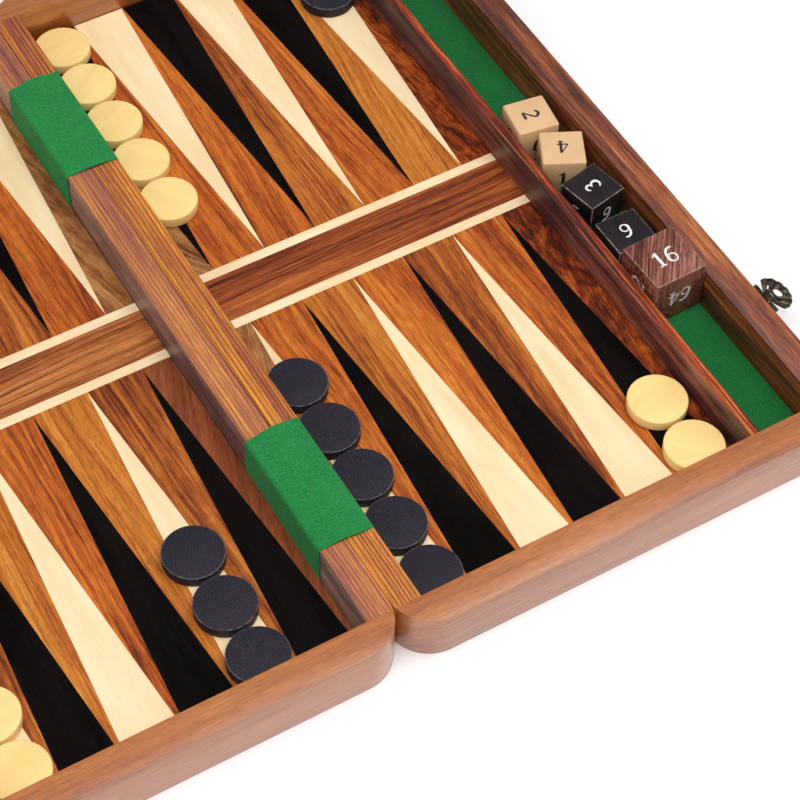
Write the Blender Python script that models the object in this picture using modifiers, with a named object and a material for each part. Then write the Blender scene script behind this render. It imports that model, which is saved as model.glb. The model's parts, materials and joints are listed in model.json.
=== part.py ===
"""Folding wooden backgammon set, lying open, with its hinges, hasp, checkers, dice and doubling cube.

Units are metres, +Z up. The origin is on the table, under the middle of the fold line.
X runs across the open set and Y runs along the fold. The right half is at +X and the
left half at -X. Both halves are shallow trays, and the left one folds over the right one.
"""
import math

import bmesh
import bpy
from mathutils import Matrix, Vector

# ---- Driving dimensions ----
HALF_WIDTH = 0.2070          # fold line to the outer face of an end rail
CASE_LENGTH = 0.3800         # over the front and back rails
CASE_HEIGHT = 0.0232         # table to the rim of either half
RAIL_WIDTH = 0.0135          # front and back rails
END_RAIL_WIDTH = 0.0127
HINGE_RAIL_WIDTH = 0.0115    # the two of them make the bar
SEAM_HALF_GAP = 0.00015      # each half stops this far from the fold line
FIT_GAP = 0.0003             # between pieces that touch
CORNER_RADIUS = 0.0175       # the upright corners of each half
CORNER_SEGMENTS = 8
EDGE_EASE = 0.0006           # the rounded-over rim and foot edges
OVERSHOOT = 0.004            # how far stock and cutters run past what they cut

# ---- The bottom and the playing surface ----
PITCH = 0.0244               # one point to the next
POINTS_PER_SIDE = 6
FIELD_START = 0.0128         # fold line to the first point
FLOOR_TOP = 0.0044           # playing surface above the table
BASE_THICKNESS = 0.0026
PANEL_THICKNESS = 0.0015
DIVIDER_THICKNESS = 0.0054
DIVIDER_SETBACK = 0.0031     # last point to the divider
DIVIDER_TOP = 0.0215
DIVIDER_ROUND = 0.0019
TRAY_FELT_THICKNESS = 0.0005

# ---- Hinges, under the felt patches on the bar ----
FOLD_AXIS_Z = CASE_HEIGHT + 0.0005
HINGE_LENGTH = 0.0500
HINGE_CENTRES_Y = {"front": -0.1114, "back": 0.1060}
HINGE_REACH = 0.0085         # fold line to the outer edge of a leaf
HINGE_PLATE = 0.0006
HINGE_PLATE_DROP = 0.00005   # plate top below the rim
HINGE_NOTCH = 0.0014         # fold line to a plate, beside the other leaf's knuckle
HINGE_WEB = (-0.0002, 0.0017)  # from the fold line: the metal that joins a knuckle to its plate
JOIN_INSET = 0.00006         # keeps the faces of joined pieces from coinciding
HINGE_KNUCKLE_RADIUS = 0.0009
HINGE_BORE = 0.00055
HINGE_PIN_RADIUS = 0.0003
PIN_SETBACK = 0.001          # end of a pin inside the end of its barrel
PIN_SIDES = 12
OUTER_KNUCKLE = 0.0160       # length of each outer knuckle

# ---- Felt patches that hide the hinges ----
FELT_LENGTH = 0.0600
FELT_THICKNESS = 0.0005
FELT_WALL_GAP = 0.00015      # between the felt and the inner walls of the bar
FELT_FOOT_GAP = 0.0003
FELT_CROWN_LIFT = 0.00025    # over the knuckles, at the fold line
FELT_KNUCKLE_EDGE = (0.0011, 0.0001)   # from the fold line, and over the knuckles
FELT_SHOULDER = (0.0035, 0.0006)       # from the fold line, and over the rim
FELT_RIM_LIFT = 0.00015      # over the rim, where the felt turns down

# ---- Hasp on the right end rail, catch on the left one ----
HASP_Y = -0.1203
HASP_AXIS_X = HALF_WIDTH + 0.0024
HASP_AXIS_Z = 0.0200
HASP_PLATE = 0.0007          # thickness of the hasp plate and the catch plate
HASP_PLATE_FOOT = 0.0095     # above the table
HASP_PLATE_DROP = 0.0016     # top of the plate below the barrel's axis
HASP_ARM_FOOT = 0.0018       # the arms that carry the outer knuckles, below the axis
HASP_ARM_TOP = 0.0003
HASP_BRIDGE_FOOT = 0.0010    # from each arm out to its knuckle, below the axis
HASP_KNUCKLE_RADIUS = 0.0011
HASP_BORE = 0.00065
HASP_PIN_RADIUS = 0.0004
HASP_BARREL = 0.0150
HASP_LEAF_KNUCKLE = 0.0062   # length of the leaf's own knuckle
HASP_LEAF_BASE = 0.0002      # underside of the open leaf above the barrel's axis
HASP_LEAF_THICKNESS = 0.0009
HASP_REACH = 0.0112          # barrel axis to the tip of the leaf
HASP_HALF_SPREAD = 0.00865
HASP_NECK_HALF = 0.0028
HASP_NECK_X = (0.0006, 0.0020)   # from the barrel axis: root and end of the neck
HASP_FAN_X = 0.0040          # barrel axis to the middle of the fan
HASP_FAN_TURN = 100.0        # degrees the fan spreads to each side
HASP_LOBES = 5
HASP_SCALLOP = 0.07          # depth of the scallops, as a share of the reach
HASP_HOLE_AT = 0.0060        # barrel axis to the middle of the hole
HASP_HOLE_HALF = (0.0026, 0.0021)
KNOB_STEM_RADIUS = 0.0010
KNOB_HEAD_RADIUS = 0.0015
KNOB_STEM = 0.0018
KNOB_HEAD = 0.0017
KNOB_ROOT = 0.0002           # how far the stem starts inside its plate
CATCH_HALF_WIDTH = 0.0065
CATCH_BELOW_KNOB = 0.0068
CATCH_ABOVE_KNOB = 0.0016

# ---- Loose pieces ----
CHECKER_RADIUS = 0.0125
CHECKER_THICKNESS = 0.0052
CHECKER_SPACING = 0.0262
CHECKER_SIDES = 32
OUTERMOST_CHECKER_Y = 0.1617
DIE_SIZE = 0.0190
DOUBLING_CUBE_SIZE = 0.0248
DIE_EDGE = 0.0012
# name: (x, y, turn about Z in degrees, size), all in the right tray
TRAY_CUBES = {
    "doubling_cube": (0.1810, -0.0869, 1.7, DOUBLING_CUBE_SIZE),
    "die_dark_1": (0.1785, -0.0632, 0.5, DIE_SIZE),
    "die_dark_2": (0.1800, -0.0352, 11.7, DIE_SIZE),
    "die_pale_1": (0.1810, -0.0100, -26.5, DIE_SIZE),
    "die_pale_2": (0.1795, 0.0131, -8.4, DIE_SIZE),
}
# (half, rail it starts from, point counted from the bar, checkers, colour)
OPENING_SET_UP = [
    (1, -1, 1, 5, "dark"), (1, -1, 6, 2, "pale"), (-1, -1, 2, 3, "dark"), (-1, -1, 6, 5, "pale"),
    (1, 1, 1, 5, "pale"), (1, 1, 6, 2, "dark"), (-1, 1, 2, 3, "pale"), (-1, 1, 6, 5, "dark"),
]

# ---- Worked out from the above ----
HALF_LENGTH = CASE_LENGTH / 2
INNER_Y = HALF_LENGTH - RAIL_WIDTH
BAY_Y = INNER_Y - FIT_GAP                      # what fits between front and back rails
FLOOR_START = HINGE_RAIL_WIDTH + FIT_GAP
DIVIDER_START = FIELD_START + POINTS_PER_SIDE * PITCH + DIVIDER_SETBACK
DIVIDER_END = DIVIDER_START + DIVIDER_THICKNESS
END_RAIL_START = HALF_WIDTH - END_RAIL_WIDTH
BED_Z = BASE_THICKNESS + FIT_GAP               # underside of what lies on the base boards
SIDES = {1: "right", -1: "left"}


# ---- Helpers ----
def clear_scene():
    for obj in list(bpy.data.objects):
        bpy.data.objects.remove(obj, do_unlink=True)


def new_collection(name):
    collection = bpy.data.collections.new(name)
    bpy.context.scene.collection.children.link(collection)
    return collection


def new_material(name, colour, roughness, metallic=0.0):
    """A Principled material of one colour."""
    mat = bpy.data.materials.new(name)
    mat.use_nodes = True
    shader = mat.node_tree.nodes["Principled BSDF"]
    shader.inputs["Base Color"].default_value = (*colour, 1.0)
    shader.inputs["Roughness"].default_value = roughness
    shader.inputs["Metallic"].default_value = metallic
    return mat


def mesh_from(name, bm):
    """Turn a bmesh into mesh data, with round parts shaded smooth."""
    bmesh.ops.recalc_face_normals(bm, faces=bm.faces)
    mesh = bpy.data.meshes.new(name)
    bm.to_mesh(mesh)
    bm.free()
    mesh.shade_smooth()
    mesh.set_sharp_from_angle(angle=math.radians(35))
    return mesh


def add_box(bm, low, high):
    """Add a box between two corners, and return its vertices."""
    low, high = Vector(low), Vector(high)
    place = Matrix.Translation((low + high) / 2) @ Matrix.Diagonal((*(high - low), 1.0))
    return bmesh.ops.create_cube(bm, size=1.0, matrix=place)["verts"]


def add_cylinder(bm, radius, start, end, segments=16):
    """Add a closed cylinder between two points."""
    start, end = Vector(start), Vector(end)
    turn = (end - start).to_track_quat("Z", "Y").to_matrix().to_4x4()
    bmesh.ops.create_cone(
        bm, cap_ends=True, segments=segments, radius1=radius, radius2=radius,
        depth=(end - start).length, matrix=Matrix.Translation((start + end) / 2) @ turn)


def side_box(side, x_in, x_out, y_low, y_high, z_low, z_high):
    """Corners of a box given by distances from the fold line, on either half."""
    x_low, x_high = sorted((side * x_in, side * x_out))
    return (x_low, y_low, z_low), (x_high, y_high, z_high)


def box_mesh(name, low, high):
    bm = bmesh.new()
    add_box(bm, low, high)
    return mesh_from(name, bm)


def place(name, mesh, collection, mat=None, location=(0, 0, 0), turn=0.0, parent=None):
    """Add an object. Its place is given in the world, also when it has a parent."""
    obj = bpy.data.objects.new(name, mesh)
    obj.location = location
    obj.rotation_euler = (0, 0, turn)
    if mat and not mesh.materials:
        mesh.materials.append(mat)
    if parent:
        obj.parent = parent
        obj.matrix_parent_inverse = Matrix.Translation(parent.location).inverted()
    collection.objects.link(obj)
    return obj


def cutter(name, mesh):
    obj = place(name, mesh, CUTTERS)
    obj.hide_render = True
    obj.display_type = "WIRE"
    return obj


def boolean(obj, tool, operation):
    modifier = obj.modifiers.new(operation.title(), "BOOLEAN")
    modifier.operation = operation
    modifier.solver = "EXACT"
    modifier.object = tool


def axis_empty(name, location):
    empty = bpy.data.objects.new(name, None)
    empty.location = location
    empty.empty_display_size = 0.01
    PARTS.objects.link(empty)
    return empty


# ---- The case ----
def half_outline(side):
    """The outer shape of one half as a solid: upright corners rounded, rim and foot eased."""
    bm = bmesh.new()
    add_box(bm, *side_box(side, SEAM_HALF_GAP, HALF_WIDTH, -HALF_LENGTH, HALF_LENGTH, 0, CASE_HEIGHT))
    upright = [e for e in bm.edges if abs(e.verts[0].co.z - e.verts[1].co.z) > CASE_HEIGHT / 2]
    bmesh.ops.bevel(bm, geom=upright, offset=CORNER_RADIUS, segments=CORNER_SEGMENTS,
                    profile=0.5, affect="EDGES")
    rims = [e for e in bm.edges if abs(e.verts[0].co.z - e.verts[1].co.z) < 1e-6]
    bmesh.ops.bevel(bm, geom=rims, offset=EDGE_EASE, segments=2, profile=0.5, affect="EDGES")
    return cutter(f"outline_{SIDES[side]}", mesh_from("outline", bm))


def rail(name, side, stock, outline, parent):
    """A rail: square stock, cut to the rounded outline of its half."""
    obj = place(f"{name}_{SIDES[side]}", box_mesh(name, *stock), PARTS, WOOD[name], parent=parent)
    boolean(obj, outline, "INTERSECT")
    return obj


def hinge_mortises(side):
    """Recesses for both hinge leaves in the top of one hinge rail."""
    bm = bmesh.new()
    half = HINGE_LENGTH / 2 + FIT_GAP
    floor = CASE_HEIGHT - HINGE_PLATE_DROP - HINGE_PLATE - FIT_GAP
    for y in HINGE_CENTRES_Y.values():
        add_box(bm, *side_box(side, -OVERSHOOT, HINGE_REACH + FIT_GAP, y - half, y + half,
                              floor, CASE_HEIGHT + OVERSHOOT))
    return cutter(f"mortises_{SIDES[side]}", mesh_from("mortises", bm))


def case_rails(side, parent):
    """The four rails of one half."""
    outline = half_outline(side)
    high = CASE_HEIGHT + OVERSHOOT
    over_x, over_y = HALF_WIDTH + OVERSHOOT, HALF_LENGTH + OVERSHOOT
    rail("front_rail", side, side_box(side, -OVERSHOOT, over_x, -over_y, -INNER_Y, -OVERSHOOT, high),
         outline, parent)
    rail("back_rail", side, side_box(side, -OVERSHOOT, over_x, INNER_Y, over_y, -OVERSHOOT, high),
         outline, parent)
    rail("end_rail", side, side_box(side, END_RAIL_START, over_x, -BAY_Y, BAY_Y, -OVERSHOOT, high),
         outline, parent)
    hinge_rail = rail("hinge_rail", side,
                      side_box(side, -OVERSHOOT, HINGE_RAIL_WIDTH, -BAY_Y, BAY_Y, -OVERSHOOT, high),
                      outline, parent)
    boolean(hinge_rail, hinge_mortises(side), "DIFFERENCE")


def case_floor(side, parent):
    """The base board, and the playing panel and tray felt that lie on it."""
    floor_end = END_RAIL_START - FIT_GAP
    boards = {
        "base_board": (FLOOR_START, floor_end, 0, BASE_THICKNESS),
        "playing_panel": (FLOOR_START, DIVIDER_START - FIT_GAP, BED_Z, BED_Z + PANEL_THICKNESS),
        "tray_felt": (DIVIDER_END + FIT_GAP, floor_end, BED_Z, BED_Z + TRAY_FELT_THICKNESS),
    }
    for name, (x_in, x_out, z_low, z_high) in boards.items():
        corners = side_box(side, x_in, x_out, -BAY_Y, BAY_Y, z_low, z_high)
        mat = FELT if name == "tray_felt" else WOOD[name]
        place(f"{name}_{SIDES[side]}", box_mesh(name, *corners), PARTS, mat, parent=parent)


def tray_divider(side, parent):
    """The low wall between the playing field and the tray, with a rounded top."""
    bm = bmesh.new()
    add_box(bm, *side_box(side, DIVIDER_START, DIVIDER_END, -BAY_Y, BAY_Y, BED_Z, DIVIDER_TOP))
    top = [e for e in bm.edges if min(v.co.z for v in e.verts) > DIVIDER_TOP - 1e-6
           and abs(e.verts[0].co.y - e.verts[1].co.y) > BAY_Y]
    bmesh.ops.bevel(bm, geom=top, offset=DIVIDER_ROUND, segments=3, profile=0.5, affect="EDGES")
    place(f"tray_divider_{SIDES[side]}", mesh_from("divider", bm), PARTS, WOOD["tray_divider"],
          parent=parent)


# ---- Hinges and the felt over them ----
def knuckle_spans():
    """Where each knuckle starts and stops along the pin, from the hinge's middle."""
    half = HINGE_LENGTH / 2
    inner = half - OUTER_KNUCKLE
    return {"outer": [(-half, -inner), (inner, half)],
            "middle": [(-inner + FIT_GAP, inner - FIT_GAP)]}


def hinge_leaf(name, side, y, spans, bored, parent):
    """One leaf: a notched plate, the knuckles it carries, and either a bore or the pin."""
    top = CASE_HEIGHT - HINGE_PLATE_DROP
    half = HINGE_LENGTH / 2
    axis = Vector((0, 0, FOLD_AXIS_Z))
    bm = bmesh.new()
    add_box(bm, *side_box(side, HINGE_NOTCH, HINGE_REACH, -half, half, top - HINGE_PLATE, top))
    for low, high in spans:
        add_box(bm, *side_box(side, *HINGE_WEB, low + JOIN_INSET, high - JOIN_INSET,
                              top - HINGE_PLATE + JOIN_INSET, top - JOIN_INSET))
        add_cylinder(bm, HINGE_KNUCKLE_RADIUS, axis + Vector((0, low, 0)), axis + Vector((0, high, 0)))
    if not bored:
        add_cylinder(bm, HINGE_PIN_RADIUS, axis + Vector((0, PIN_SETBACK - half, 0)),
                     axis + Vector((0, half - PIN_SETBACK, 0)), segments=PIN_SIDES)
    obj = place(name, joined(name, bm), PARTS, BRASS, location=(0, y, 0), parent=parent)
    if bored:
        bore = bmesh.new()
        add_cylinder(bore, HINGE_BORE, axis + Vector((0, y - half, 0)),
                     axis + Vector((0, y + half, 0)), segments=PIN_SIDES)
        boolean(obj, cutter(f"{name}_bore", mesh_from("bore", bore)), "DIFFERENCE")


def joined(name, bm):
    """One body from overlapping closed pieces: a Boolean union of the mesh with itself."""
    pieces = place(f"{name}_pieces", mesh_from(name, bm), CUTTERS)
    seed = bmesh.new()
    add_box(seed, *tiny_seed(pieces.data))
    whole = place(f"{name}_whole", mesh_from(name, seed), CUTTERS)
    boolean(whole, pieces, "UNION")
    whole.modifiers[-1].use_self = True
    bpy.context.view_layer.update()
    depsgraph = bpy.context.evaluated_depsgraph_get()
    mesh = bpy.data.meshes.new_from_object(whole.evaluated_get(depsgraph))
    for obj in (whole, pieces):
        bpy.data.objects.remove(obj, do_unlink=True)
    return mesh


def tiny_seed(mesh):
    """Corners of a small box well inside the first piece of a mesh."""
    first = [mesh.vertices[i].co for i in range(8)]
    centre = sum(first, Vector()) / 8
    step = Vector((1, 1, 1)) * JOIN_INSET
    return centre - step, centre + step


def hinges(left_parent):
    for place_name, y in HINGE_CENTRES_Y.items():
        spans = knuckle_spans()
        hinge_leaf(f"hinge_{place_name}_leaf_right", 1, y, spans["outer"], False, None)
        hinge_leaf(f"hinge_{place_name}_leaf_left", -1, y, spans["middle"], True, left_parent)


def hinge_felt(name, y):
    """A felt patch tented over a hinge, its ends turned down the inner walls of the bar."""
    wall = HINGE_RAIL_WIDTH + FELT_WALL_GAP
    foot = FLOOR_TOP + FELT_FOOT_GAP
    crown = FOLD_AXIS_Z + HINGE_KNUCKLE_RADIUS
    right = [(FELT_KNUCKLE_EDGE[0], crown + FELT_KNUCKLE_EDGE[1]),
             (FELT_SHOULDER[0], CASE_HEIGHT + FELT_SHOULDER[1]),
             (wall, CASE_HEIGHT + FELT_RIM_LIFT), (wall, foot)]
    profile = [(-x, z) for x, z in reversed(right)] + [(0.0, crown + FELT_CROWN_LIFT)] + right
    bm = bmesh.new()
    rows = [[bm.verts.new((x, side * FELT_LENGTH / 2, z)) for x, z in profile] for side in (-1, 1)]
    for i in range(len(profile) - 1):
        bm.faces.new((rows[0][i], rows[0][i + 1], rows[1][i + 1], rows[1][i]))
    mesh = bpy.data.meshes.new(name)
    bm.to_mesh(mesh)
    bm.free()
    obj = place(name, mesh, PARTS, FELT, location=(0, y, 0))
    shell = obj.modifiers.new("Thickness", "SOLIDIFY")
    shell.thickness = FELT_THICKNESS
    shell.offset = 1.0
    shell.use_even_offset = True


# ---- Hasp and catch ----
def hasp_plate():
    """The plate on the right end rail, with two knuckles and the pin between them."""
    face = HALF_WIDTH + FIT_GAP
    half = HASP_BARREL / 2
    inner = HASP_LEAF_KNUCKLE / 2 + FIT_GAP
    top = HASP_AXIS_Z - HASP_ARM_TOP
    bm = bmesh.new()
    add_box(bm, (face, -half, HASP_PLATE_FOOT), (face + HASP_PLATE, half, HASP_AXIS_Z - HASP_PLATE_DROP))
    for low, high in ((-half, -inner), (inner, half)):
        arm_low, arm_high = low + JOIN_INSET, high - JOIN_INSET
        add_box(bm, (face + JOIN_INSET, arm_low, HASP_AXIS_Z - HASP_ARM_FOOT),
                (face + HASP_PLATE - JOIN_INSET, arm_high, top))
        add_box(bm, (face + 2 * JOIN_INSET, arm_low + JOIN_INSET, HASP_AXIS_Z - HASP_BRIDGE_FOOT),
                (HASP_AXIS_X, arm_high - JOIN_INSET, top - JOIN_INSET))
        add_cylinder(bm, HASP_KNUCKLE_RADIUS, (HASP_AXIS_X, low, HASP_AXIS_Z),
                     (HASP_AXIS_X, high, HASP_AXIS_Z))
    add_cylinder(bm, HASP_PIN_RADIUS, (HASP_AXIS_X, PIN_SETBACK - half, HASP_AXIS_Z),
                 (HASP_AXIS_X, half - PIN_SETBACK, HASP_AXIS_Z), segments=PIN_SIDES)
    place("hasp_plate", joined("hasp_plate", bm), PARTS, BRASS, location=(0, HASP_Y, 0))


def shell_outline():
    """Points of the leaf's outline, from the barrel axis: a fan with a scalloped edge."""
    steps = 6 * HASP_LOBES
    neck, (root_x, neck_x) = HASP_NECK_HALF, HASP_NECK_X
    points = [(neck_x, -neck), (root_x, -neck), (root_x, neck), (neck_x, neck)]
    for i in range(steps + 1):
        turn = math.radians(HASP_FAN_TURN * (1 - 2 * i / steps))
        scallop = 1.0 - HASP_SCALLOP * (1.0 - abs(math.sin(math.pi * HASP_LOBES * i / steps)))
        points.append((HASP_FAN_X + (HASP_REACH - HASP_FAN_X) * scallop * math.cos(turn),
                       HASP_HALF_SPREAD * scallop * math.sin(turn)))
    return points


def hasp_leaf():
    """The leaf, lying level: a pierced shell plate with the middle knuckle on its root."""
    curve = bpy.data.curves.new("hasp_leaf_outline", "CURVE")
    curve.dimensions = "2D"
    curve.fill_mode = "BOTH"
    curve.extrude = HASP_LEAF_THICKNESS / 2
    hole = [(HASP_HOLE_AT + HASP_HOLE_HALF[0] * math.cos(a), HASP_HOLE_HALF[1] * math.sin(a))
            for a in (2 * math.pi * i / 20 for i in range(20))]
    for points in (shell_outline(), hole):
        spline = curve.splines.new("POLY")
        spline.points.add(len(points) - 1)
        for point, (x, y) in zip(spline.points, points):
            point.co = (x, y, 0, 1)
        spline.use_cyclic_u = True
    flat = place("hasp_leaf_flat", curve, CUTTERS)
    bpy.context.view_layer.update()
    mesh = bpy.data.meshes.new_from_object(flat.evaluated_get(bpy.context.evaluated_depsgraph_get()))
    bpy.data.objects.remove(flat, do_unlink=True)
    bm = bmesh.new()
    bm.from_mesh(mesh)
    bmesh.ops.remove_doubles(bm, verts=bm.verts, dist=0.00001)
    bmesh.ops.translate(bm, verts=bm.verts, vec=(0, 0, HASP_LEAF_BASE + HASP_LEAF_THICKNESS / 2))
    axis = axis_empty("hasp_axis", (HASP_AXIS_X, HASP_Y, HASP_AXIS_Z))
    leaf = place("hasp_leaf", mesh_from("hasp_leaf", bm), PARTS, BRASS,
                 location=(HASP_AXIS_X, HASP_Y, HASP_AXIS_Z), parent=axis)
    half = HASP_LEAF_KNUCKLE / 2
    for name, radius, reach, operation in (("hasp_knuckle", HASP_KNUCKLE_RADIUS, half, "UNION"),
                                           ("hasp_bore", HASP_BORE, half + OVERSHOOT, "DIFFERENCE")):
        tool = bmesh.new()
        add_cylinder(tool, radius, (0, -reach, 0), (0, reach, 0), segments=16)
        obj = cutter(name, mesh_from(name, tool))
        obj.location = leaf.location
        boolean(leaf, obj, operation)


def catch_plate(parent):
    """The knob on the left end rail that the hasp drops over when the set is shut."""
    face = HALF_WIDTH + FIT_GAP
    knob_z = 2 * FOLD_AXIS_Z - HASP_AXIS_Z - HASP_HOLE_AT
    stem_end = face + HASP_PLATE + KNOB_STEM
    bm = bmesh.new()
    add_box(bm, (-face - HASP_PLATE, -CATCH_HALF_WIDTH, knob_z - CATCH_BELOW_KNOB),
            (-face, CATCH_HALF_WIDTH, knob_z + CATCH_ABOVE_KNOB))
    add_cylinder(bm, KNOB_STEM_RADIUS, (-face - KNOB_ROOT, 0, knob_z), (-stem_end - KNOB_ROOT, 0, knob_z))
    add_cylinder(bm, KNOB_HEAD_RADIUS, (-stem_end, 0, knob_z), (-stem_end - KNOB_HEAD, 0, knob_z))
    place("catch_plate", joined("catch_plate", bm), PARTS, BRASS, location=(0, HASP_Y, 0), parent=parent)


# ---- Loose pieces ----
def checker_mesh(shade):
    bm = bmesh.new()
    add_cylinder(bm, CHECKER_RADIUS, (0, 0, 0), (0, 0, CHECKER_THICKNESS), CHECKER_SIDES)
    mesh = mesh_from(f"checker_{shade}", bm)
    mesh.materials.append(CHECKER[shade])
    return mesh


def checkers(left_parent):
    """Thirty checkers on their points for the start of a game."""
    meshes = {shade: checker_mesh(shade) for shade in CHECKER}
    count = {shade: 0 for shade in CHECKER}
    for side, rail_side, point, number, shade in OPENING_SET_UP:
        x = side * (FIELD_START + (point - 0.5) * PITCH)
        for i in range(number):
            y = rail_side * (OUTERMOST_CHECKER_Y - i * CHECKER_SPACING)
            count[shade] += 1
            place(f"checker_{shade}_{count[shade]:02d}", meshes[shade], PARTS,
                  location=(x, y, FLOOR_TOP + FIT_GAP), parent=left_parent if side < 0 else None)


def tray_cubes():
    """The dice and the doubling cube, standing in the right tray."""
    bed = BED_Z + TRAY_FELT_THICKNESS + FIT_GAP
    for name, (x, y, turn, size) in TRAY_CUBES.items():
        bm = bmesh.new()
        add_box(bm, (-size / 2, -size / 2, 0), (size / 2, size / 2, size))
        bmesh.ops.bevel(bm, geom=list(bm.edges), offset=DIE_EDGE, segments=1, affect="EDGES")
        place(name, mesh_from(name, bm), PARTS, CUBE[name], location=(x, y, bed),
              turn=math.radians(turn))


clear_scene()
PARTS = new_collection("backgammon_set")
CUTTERS = new_collection("cutters")

BRASS = new_material("antique_brass", (0.16, 0.13, 0.09), 0.45, 1.0)
FELT = new_material("green_felt", (0.01, 0.20, 0.05), 0.95)
WOOD = {
    "front_rail": new_material("front_rail_wood", (0.42, 0.20, 0.10), 0.40),
    "back_rail": new_material("back_rail_wood", (0.40, 0.19, 0.09), 0.40),
    "end_rail": new_material("end_rail_wood", (0.36, 0.13, 0.06), 0.40),
    "hinge_rail": new_material("hinge_rail_wood", (0.40, 0.18, 0.09), 0.40),
    "tray_divider": new_material("divider_wood", (0.28, 0.10, 0.05), 0.40),
    "base_board": new_material("base_wood", (0.30, 0.16, 0.08), 0.60),
    "playing_panel": new_material("panel_wood", (0.45, 0.20, 0.07), 0.35),
}
CHECKER = {
    "dark": new_material("dark_checker", (0.02, 0.02, 0.02), 0.45),
    "pale": new_material("pale_checker", (0.85, 0.66, 0.32), 0.40),
}
CUBE = {
    "doubling_cube": new_material("doubling_cube_wood", (0.16, 0.06, 0.04), 0.45),
    "die_dark_1": new_material("dark_die_1", (0.02, 0.015, 0.015), 0.40),
    "die_dark_2": new_material("dark_die_2", (0.02, 0.015, 0.015), 0.40),
    "die_pale_1": new_material("pale_die_1", (0.85, 0.66, 0.36), 0.40),
    "die_pale_2": new_material("pale_die_2", (0.85, 0.66, 0.36), 0.40),
}

fold_axis = axis_empty("fold_axis", (0, 0, FOLD_AXIS_Z))
for half_side in SIDES:
    half_parent = fold_axis if half_side < 0 else None
    case_rails(half_side, half_parent)
    case_floor(half_side, half_parent)
    tray_divider(half_side, half_parent)
hinges(fold_axis)
for patch, patch_y in HINGE_CENTRES_Y.items():
    hinge_felt(f"hinge_felt_{patch}", patch_y)
hasp_plate()
hasp_leaf()
catch_plate(fold_axis)
checkers(fold_axis)
tray_cubes()
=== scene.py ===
"""Looks for the folding backgammon set: woods, marquetry, felt, loose pieces, hasp, light and camera."""
import json
import random
from math import atan2, cos, dist, exp, hypot, pi, radians, sin

import bmesh
import bpy
import numpy as np
from mathutils import Matrix, Vector


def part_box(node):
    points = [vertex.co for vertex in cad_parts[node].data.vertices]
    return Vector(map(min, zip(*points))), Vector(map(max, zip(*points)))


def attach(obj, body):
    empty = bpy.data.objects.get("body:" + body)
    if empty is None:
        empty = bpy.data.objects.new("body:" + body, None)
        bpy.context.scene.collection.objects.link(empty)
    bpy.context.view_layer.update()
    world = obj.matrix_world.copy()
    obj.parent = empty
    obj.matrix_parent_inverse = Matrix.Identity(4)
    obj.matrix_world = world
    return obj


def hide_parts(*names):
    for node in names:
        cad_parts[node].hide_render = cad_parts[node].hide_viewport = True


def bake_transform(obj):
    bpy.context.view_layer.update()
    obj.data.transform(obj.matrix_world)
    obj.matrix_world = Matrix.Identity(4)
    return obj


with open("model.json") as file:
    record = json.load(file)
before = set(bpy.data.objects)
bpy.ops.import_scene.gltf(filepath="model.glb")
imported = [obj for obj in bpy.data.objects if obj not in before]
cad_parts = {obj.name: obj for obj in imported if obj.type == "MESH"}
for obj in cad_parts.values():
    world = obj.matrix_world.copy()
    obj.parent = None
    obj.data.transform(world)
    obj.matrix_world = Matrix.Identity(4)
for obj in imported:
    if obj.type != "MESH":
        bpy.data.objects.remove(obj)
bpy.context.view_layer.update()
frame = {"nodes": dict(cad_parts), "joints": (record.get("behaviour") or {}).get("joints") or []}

MM = 0.001

# ---- Places read from the frame ----
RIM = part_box("front_rail_right")[1].z
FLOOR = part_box("playing_panel_right")[1].z
PANEL_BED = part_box("playing_panel_right")[0].z
PANEL_IN, PANEL_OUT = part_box("playing_panel_right")[0].x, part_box("playing_panel_right")[1].x
HALF_LENGTH = -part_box("front_rail_right")[0].y
INNER_Y = -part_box("front_rail_right")[1].y
HALF_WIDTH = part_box("end_rail_right")[1].x
END_RAIL_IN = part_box("end_rail_right")[0].x
HINGE_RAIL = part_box("hinge_rail_right")[1].x
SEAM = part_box("hinge_rail_right")[0].x
DIVIDER_LOW, DIVIDER_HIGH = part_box("tray_divider_right")
FELT_LOW, FELT_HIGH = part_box("tray_felt_right")
JOINTS = {joint["name"]: joint for joint in frame["joints"]}
HASP_AXIS = Vector(JOINTS["hasp_hinge"]["pos_m"])

# ---- The board's pattern ----
PITCH = 0.0244             # one point to the next
FIELD_START = 0.0128       # fold line to the first point
BAND_HALF = 0.0118         # half the width of the centre band
STRING_OUTER = 0.0163      # middle of the board to the tips of the points
POINT_LENGTH = 0.1640
INLAY = 0.0008             # how deep the inlays are let in
POINTS = 6
CORNER_RADIUS = 0.0175     # the upright corners of each half
SIDES = {1: "right", -1: "left"}
HALF_BODY = {1: "right_half", -1: "left_half"}


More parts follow.
